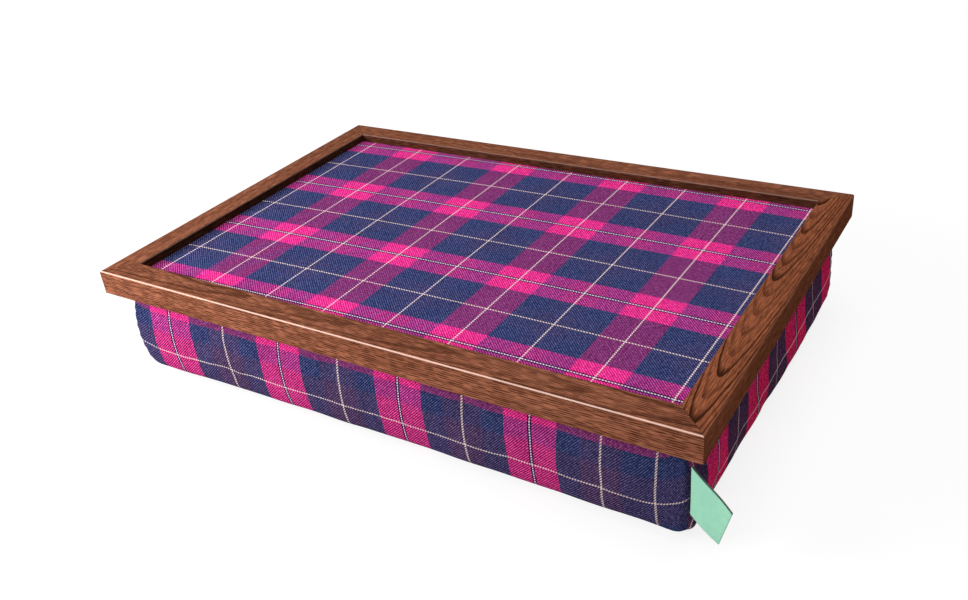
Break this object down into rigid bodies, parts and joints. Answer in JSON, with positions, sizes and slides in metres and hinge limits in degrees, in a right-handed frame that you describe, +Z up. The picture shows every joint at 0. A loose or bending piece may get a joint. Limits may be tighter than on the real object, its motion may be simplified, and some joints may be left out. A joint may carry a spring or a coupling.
{
  "type": "lap tray",
  "caption": "Lap tray: a mitred wooden frame with a check cloth surface over a board, and a bead-filled check cushion beneath.",
  "frame": {"origin": "middle of the cushion's flat base, on the surface it stands on", "axes": "+X along the tray's length to the user's right, +Y to the far side, +Z up out of the tray's surface"},
  "size_m": [0.4554, 0.3, 0.088],
  "materials": {
    "stained_wood": "satin",
    "hardboard": "matte",
    "tray_check_cloth": "matte",
    "cushion_check_cloth": "matte",
    "calico": "matte",
    "beads": "matte",
    "tab_cloth": "satin",
    "bright_steel": "satin"
  },
  "bodies": {
    "root": {"front_rail": "stained_wood", "back_rail": "stained_wood", "left_rail": "stained_wood", "right_rail": "stained_wood", "corner_v_nails": "bright_steel", "tray_board": "hardboard", "tray_cloth": "tray_check_cloth", "board_points": "bright_steel", "cushion_cover": "cushion_check_cloth", "hem_staples": "bright_steel", "inner_bag": "calico", "bead_filling": "beads", "label_tab": "tab_cloth"}
  },
  "joints": []
}
